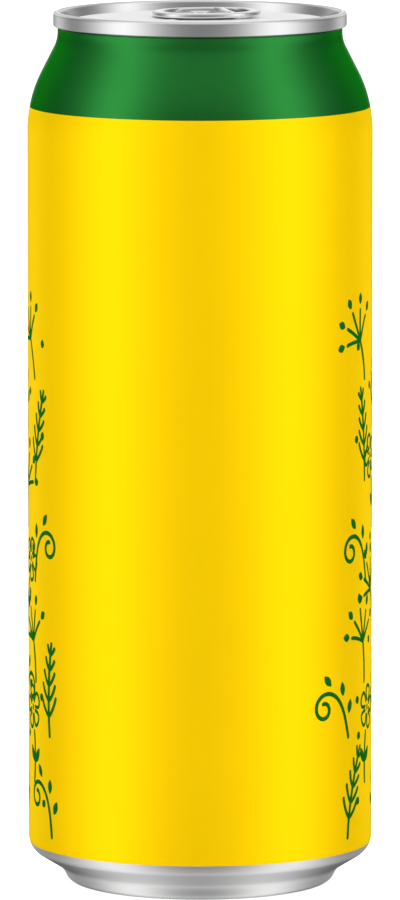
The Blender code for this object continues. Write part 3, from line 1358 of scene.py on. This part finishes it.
    def ribbon(self, stroke: Stroke, lift: float) -> Surface:
        """One stroke as a thin closed ribbon that lies on the wall.

        Its half width goes as sqrt(1 - (1 - d)^2) at a round end, with d the distance from the end in half
        widths, and sin(pi share) ** 0.8 along a pointed stroke. It is laid round the wall by azimuth =
        place across / radius.

        Args:
            stroke: The line to lay.
            lift: How far its upper face stands off the wall.

        Returns:
            The ribbon's surface.
        """
        steps = np.linalg.norm(np.diff(stroke.route, axis=0), axis=1)
        along = np.concatenate([[0], np.cumsum(steps)])
        length, half = along[-1], stroke.width / 2
        cap = (half if stroke.tip is Tip.ROUND else length) * np.array(stroke.tip.value)
        clear = cap[-1] * CAP_CLEARANCE
        inner = along[(along > clear) & (along < length - clear)]
        at = np.concatenate([cap, inner, (length - cap)[::-1]])
        route = np.stack([np.interp(at, along, column) for column in stroke.route.T], axis=-1)
        if stroke.tip is Tip.ROUND:
            from_end = np.clip(np.minimum(at, length - at) / half, 0, 1)
            wide = half * np.sqrt(1 - (1 - from_end) ** 2)
        else:
            wide = half * np.clip(np.sin(np.pi * at / length), 0, 1) ** POINT_FULLNESS
        wide = np.maximum(wide, LEAST_HALF_WIDTH)[:, None]
        ahead = np.gradient(route, axis=0)
        ahead /= np.maximum(np.linalg.norm(ahead, axis=1, keepdims=True), TINY)
        beside = np.stack([ahead[:, 1], -ahead[:, 0]], axis=-1)
        left, right = route - beside * wide, route + beside * wide
        flat = np.stack([left, right, right, left], axis=1)
        radius = self.radius + np.array([lift, lift, -self.lift, -self.lift])
        azimuth = flat[..., 0] / self.radius
        points = np.stack([radius * np.sin(azimuth), -radius * np.cos(azimuth), flat[..., 1]], axis=-1)
        ends = np.array([[0, 1, 2, 3], [3, 2, 1, 0]]) + np.array([[0], [4 * (len(at) - 1)]])
        quads = np.concatenate([ring_faces(len(at), 4), ends])
        return Surface(points.reshape(-1, 3), quads, NO_TRIANGLES).facing_out()

    def build(self) -> bpy.types.Object:
        """Lays every stroke. Neighbours differ a little in lift, so that crossing lines share no face.

        Returns:
            The print's object.
        """
        ribbons = [
            self.ribbon(stroke, self.lift + self.lift_step * (number % self.lift_count))
            for number, stroke in enumerate(self.strokes())
        ]
        return dress("side_print", joined(ribbons), "green_lacquer", GREEN_INK)


# The setting


class Strip(NamedTuple):
    """A soft strip light: the azimuth it is mirrored at, its half width there in degrees, its strength."""

    azimuth: float
    width: float
    strength: float


class Tier(NamedTuple):
    """What surfaces of one tilt mirror: plain light, and the shares of the strips and of the dark gaps.

    The near strips lie further in and are narrower where near_in and near_wide are under 1, and the gaps
    where gap_in is.
    """

    tilt: float
    plain: float
    near: float
    near_in: float
    near_wide: float
    rear: float
    gap: float
    gap_in: float


NEAR_STRIPS = (Strip(-32.0, 15.7, 0.99), Strip(32.6, 15.7, 0.96))
REAR_STRIPS = (Strip(-74.5, 8.8, 0.60), Strip(74.5, 8.8, 0.58))
GAPS = (Strip(-59.0, 13.0, -0.30), Strip(59.0, 13.0, -0.30))
TIERS = (
    Tier(-90, 0.10, 0.08, 0.8, 1.0, 0.05, 0.2, 1.0),
    Tier(-76, 0.16, 0.20, 0.8, 1.0, 0.05, 0.5, 1.0),
    Tier(-60, 0.20, 0.48, 0.75, 0.92, 0.16, 1.0, 0.98),
    Tier(-46, 0.49, 0.57, 0.84, 0.87, 0.10, 1.0, 1.05),
    Tier(-36, 0.32, 0.78, 0.92, 0.95, 0.14, 0.1, 1.15),
    Tier(-15, 0.22, 0.86, 0.96, 0.95, 0.34, 0.0, 1.0),
    Tier(0, 0.20, 1.00, 1.00, 1.00, 1.00, 0.0, 1.0),
    Tier(11, 0.19, 0.97, 0.97, 0.80, 0.50, 0.1, 0.95),
    Tier(21, 0.34, 0.84, 0.94, 0.78, 0.45, 0.4, 0.95),
    Tier(29, 0.40, 0.74, 0.92, 0.78, 0.45, 0.45, 0.92),
    Tier(37, 0.72, 0.15, 0.92, 0.78, 0.20, 0.9, 0.82),
    Tier(45, 0.76, 0.0, 0.92, 0.80, 0.0, 1.2, 0.78),
    Tier(60, 0.62, 0.0, 0.92, 0.80, 0.0, 0.2, 0.80),
    Tier(74, 0.62, 0.0, 0.92, 0.80, 0.0, 0.0, 1.0),
    Tier(84, 0.92, 0.0, 0.92, 0.80, 0.0, 0.0, 1.0),
    Tier(90, 0.96, 0.0, 0.92, 0.80, 0.0, 0.0, 1.0),
)


@dataclass
class Studio:
    """A plain pale floor, soft light all round and the photograph's camera. Sizes here are in metres."""

    floor_radius: float = 8.0
    floor_shade: float = 0.93
    floor_roughness: float = 0.9
    floor_glow: float = 0.5
    fill_powers: tuple[float, ...] = (9.6, 3.6, 6.0)
    fill_first: float = 30.0
    fill_step: float = 60.0
    fill_distance: float = 1.5
    fill_height: float = 0.55
    fill_size: float = 0.9
    overhead_power: float = 1.3
    overhead_spread: float = math.radians(80)
    camera_distance: float = 1.821
    camera_height: float = 0.31003
    target_height: float = 0.083533
    focal_pixels: float = 9541.1
    picture_height: float = 900.0
    sensor: float = 36.0

    def surroundings(self) -> None:
        """Lights the world with strips that bend round the can from behind it to its front.

        Each direction is lit by the surface that mirrors it towards the front. That surface faces half
        way between the direction and the way back to the camera, so its facing is (direction - view) made
        one long. A strip is strength * exp(-(turn / width)^2) in the azimuth of that facing, and the tiers
        set the plain light and the strips' share by its tilt.
        """
        world = bpy.data.worlds.new("surroundings")
        world.use_nodes = True
        bpy.context.scene.world = world
        build = NodeBuilder(world.node_tree)
        background = world.node_tree.nodes["Background"]
        background.inputs["Color"].default_value = WHITE
        view = Vector((0, self.camera_distance, self.target_height - self.camera_height)).normalized()
        way = build.add("TexCoord").outputs["Generated"]
        between = build.add("VectorMath", {0: way, 1: tuple(view)}, operation="SUBTRACT").outputs[0]
        facing = build.add("VectorMath", {0: between}, operation="NORMALIZE").outputs[0]
        across, ahead, up = build.add("SeparateXYZ", {0: facing}).outputs
        azimuth = build.math("ARCTAN2", across, build.math("MULTIPLY", ahead, -1.0))
        tilt = build.math("ADD", build.math("DIVIDE", build.math("ARCSINE", up), math.pi), 0.5)

        def share(name: str) -> bpy.types.NodeSocket:
            """One of the tiers' values at this tilt."""
            return build.ramp(tilt, [(tier.tilt, getattr(tier, name)) for tier in TIERS])

        def strips(group: Sequence[Strip], name: str, inward: object = 1.0, wide: object = 1.0) -> object:
            """The light of a group of strips.

            Args:
                group: The strips.
                name: The field of the tiers that holds their share.
                inward: What their azimuths are multiplied by.
                wide: What their widths are multiplied by.

            Returns:
                The sum of their bell curves, times their share.
            """
            light = 0.0
            for strip in group:
                middle = build.math("MULTIPLY", inward, math.radians(strip.azimuth))
                width = build.math("MULTIPLY", wide, math.radians(strip.width))
                off = build.math("DIVIDE", build.math("SUBTRACT", azimuth, middle), width)
                fall = build.math("MULTIPLY", off, off, -1.0)
                bell = build.math("MULTIPLY", build.math("EXPONENT", fall), strip.strength)
                light = build.math("ADD", light, bell)
            return build.math("MULTIPLY", light, share(name))

        near = strips(NEAR_STRIPS, "near", share("near_in"), share("near_wide"))
        rear = strips(REAR_STRIPS, "rear")
        gap = strips(GAPS, "gap", share("gap_in"))
        light = build.math("ADD", build.math("ADD", share("plain"), near), build.math("ADD", rear, gap))
        light = build.math("MAXIMUM", light, 0.0)
        seen = build.add("LightPath").outputs["Is Camera Ray"]
        pale = build.add("Mix", {0: seen, 2: light, 3: 1.0}, data_type="FLOAT").outputs[0]
        build.tree.links.new(pale, background.inputs["Strength"])

    def aim(self, thing: bpy.types.Object, place: tuple[float, float, float]) -> None:
        """Puts a lamp or the camera in its place and turns it to the can.

        Args:
            thing: The object to place.
            place: Where it goes.
        """
        thing.location = place
        way = thing.location - Vector((0, 0, self.target_height))
        thing.rotation_euler = way.to_track_quat("Z", "Y").to_euler()

    def lamps(self) -> None:
        """Hangs a ring of square fill lamps round the can and one even light overhead.

        None of them shows in a reflection.
        """
        for k, power in enumerate(self.fill_powers):
            for side in (-1, 1):
                azimuth = side * math.radians(self.fill_first + self.fill_step * k)
                light = bpy.data.lights.new(f"fill_lamp_{k + 1}", "AREA")
                light.shape = "SQUARE"
                light.size = self.fill_size
                light.energy = power
                lamp = placed(light.name, light)
                lamp.visible_glossy = False
                across = self.fill_distance * math.sin(azimuth)
                ahead = -self.fill_distance * math.cos(azimuth)
                self.aim(lamp, (across, ahead, self.fill_height))
        light = bpy.data.lights.new("overhead", "SUN")
        light.energy = self.overhead_power
        light.angle = self.overhead_spread
        placed("overhead", light).visible_glossy = False

    def floor(self) -> None:
        """Lays the pale floor, which metal doesn't mirror and whose glow evens out the can's shadow."""
        corners = np.array([[-1, -1, 0], [1, -1, 0], [1, 1, 0], [-1, 1, 0]], float)
        plain = Surface(corners * self.floor_radius / MM, np.array([[0, 1, 2, 3]]), NO_TRIANGLES)
        mesh = plain.mesh("floor")
        material = bpy.data.materials.new("pale floor")
        material.use_nodes = True
        shader = material.node_tree.nodes["Principled BSDF"]
        shader.inputs["Base Color"].default_value = (*[self.floor_shade] * 3, 1.0)
        shader.inputs["Roughness"].default_value = self.floor_roughness
        shader.inputs["Emission Color"].default_value = WHITE
        shader.inputs["Emission Strength"].default_value = self.floor_glow
        mesh.materials.append(material)
        floor = placed("floor", mesh)
        floor.visible_glossy = False

    def camera(self) -> None:
        """Sets up the photograph's camera: lens = sensor * focal length in pixels / picture height."""
        data = bpy.data.cameras.new("camera")
        data.sensor_width = self.sensor
        data.lens = self.sensor * self.focal_pixels / self.picture_height
        camera = placed("camera", data)
        self.aim(camera, (0.0, -self.camera_distance, self.camera_height))
        bpy.context.scene.camera = camera

    def build(self) -> None:
        """Builds the setting and keeps its colours plain."""
        bpy.context.scene.view_settings.view_transform = "Standard"
        self.camera()
        self.surroundings()
        self.lamps()
        self.floor()


def main() -> None:
    """Builds the can and its setting, piece by piece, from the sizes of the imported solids."""
    logging.basicConfig(level=logging.INFO, format="%(message)s")
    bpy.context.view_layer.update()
    body_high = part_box("can_body")[1] / MM
    end_low, end_high = (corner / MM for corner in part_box("can_end"))
    tab_low, tab_high = (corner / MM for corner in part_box("tab"))
    Studio().build()
    CanBody(radius=body_high.x, lip_z=body_high.z).build()
    CanEnd(
        seam_radius=end_high.x,
        crown_z=end_high.z + CROWN_RISE,
        seam_foot_z=end_high.z - SEAM_HEIGHT,
        underside_z=end_low.z,
    ).build()
    PullTab(middle_z=(tab_low.z + tab_high.z) / 2).build()
    SidePrint(radius=body_high.x).build()


if __name__ == "__main__":
    main()
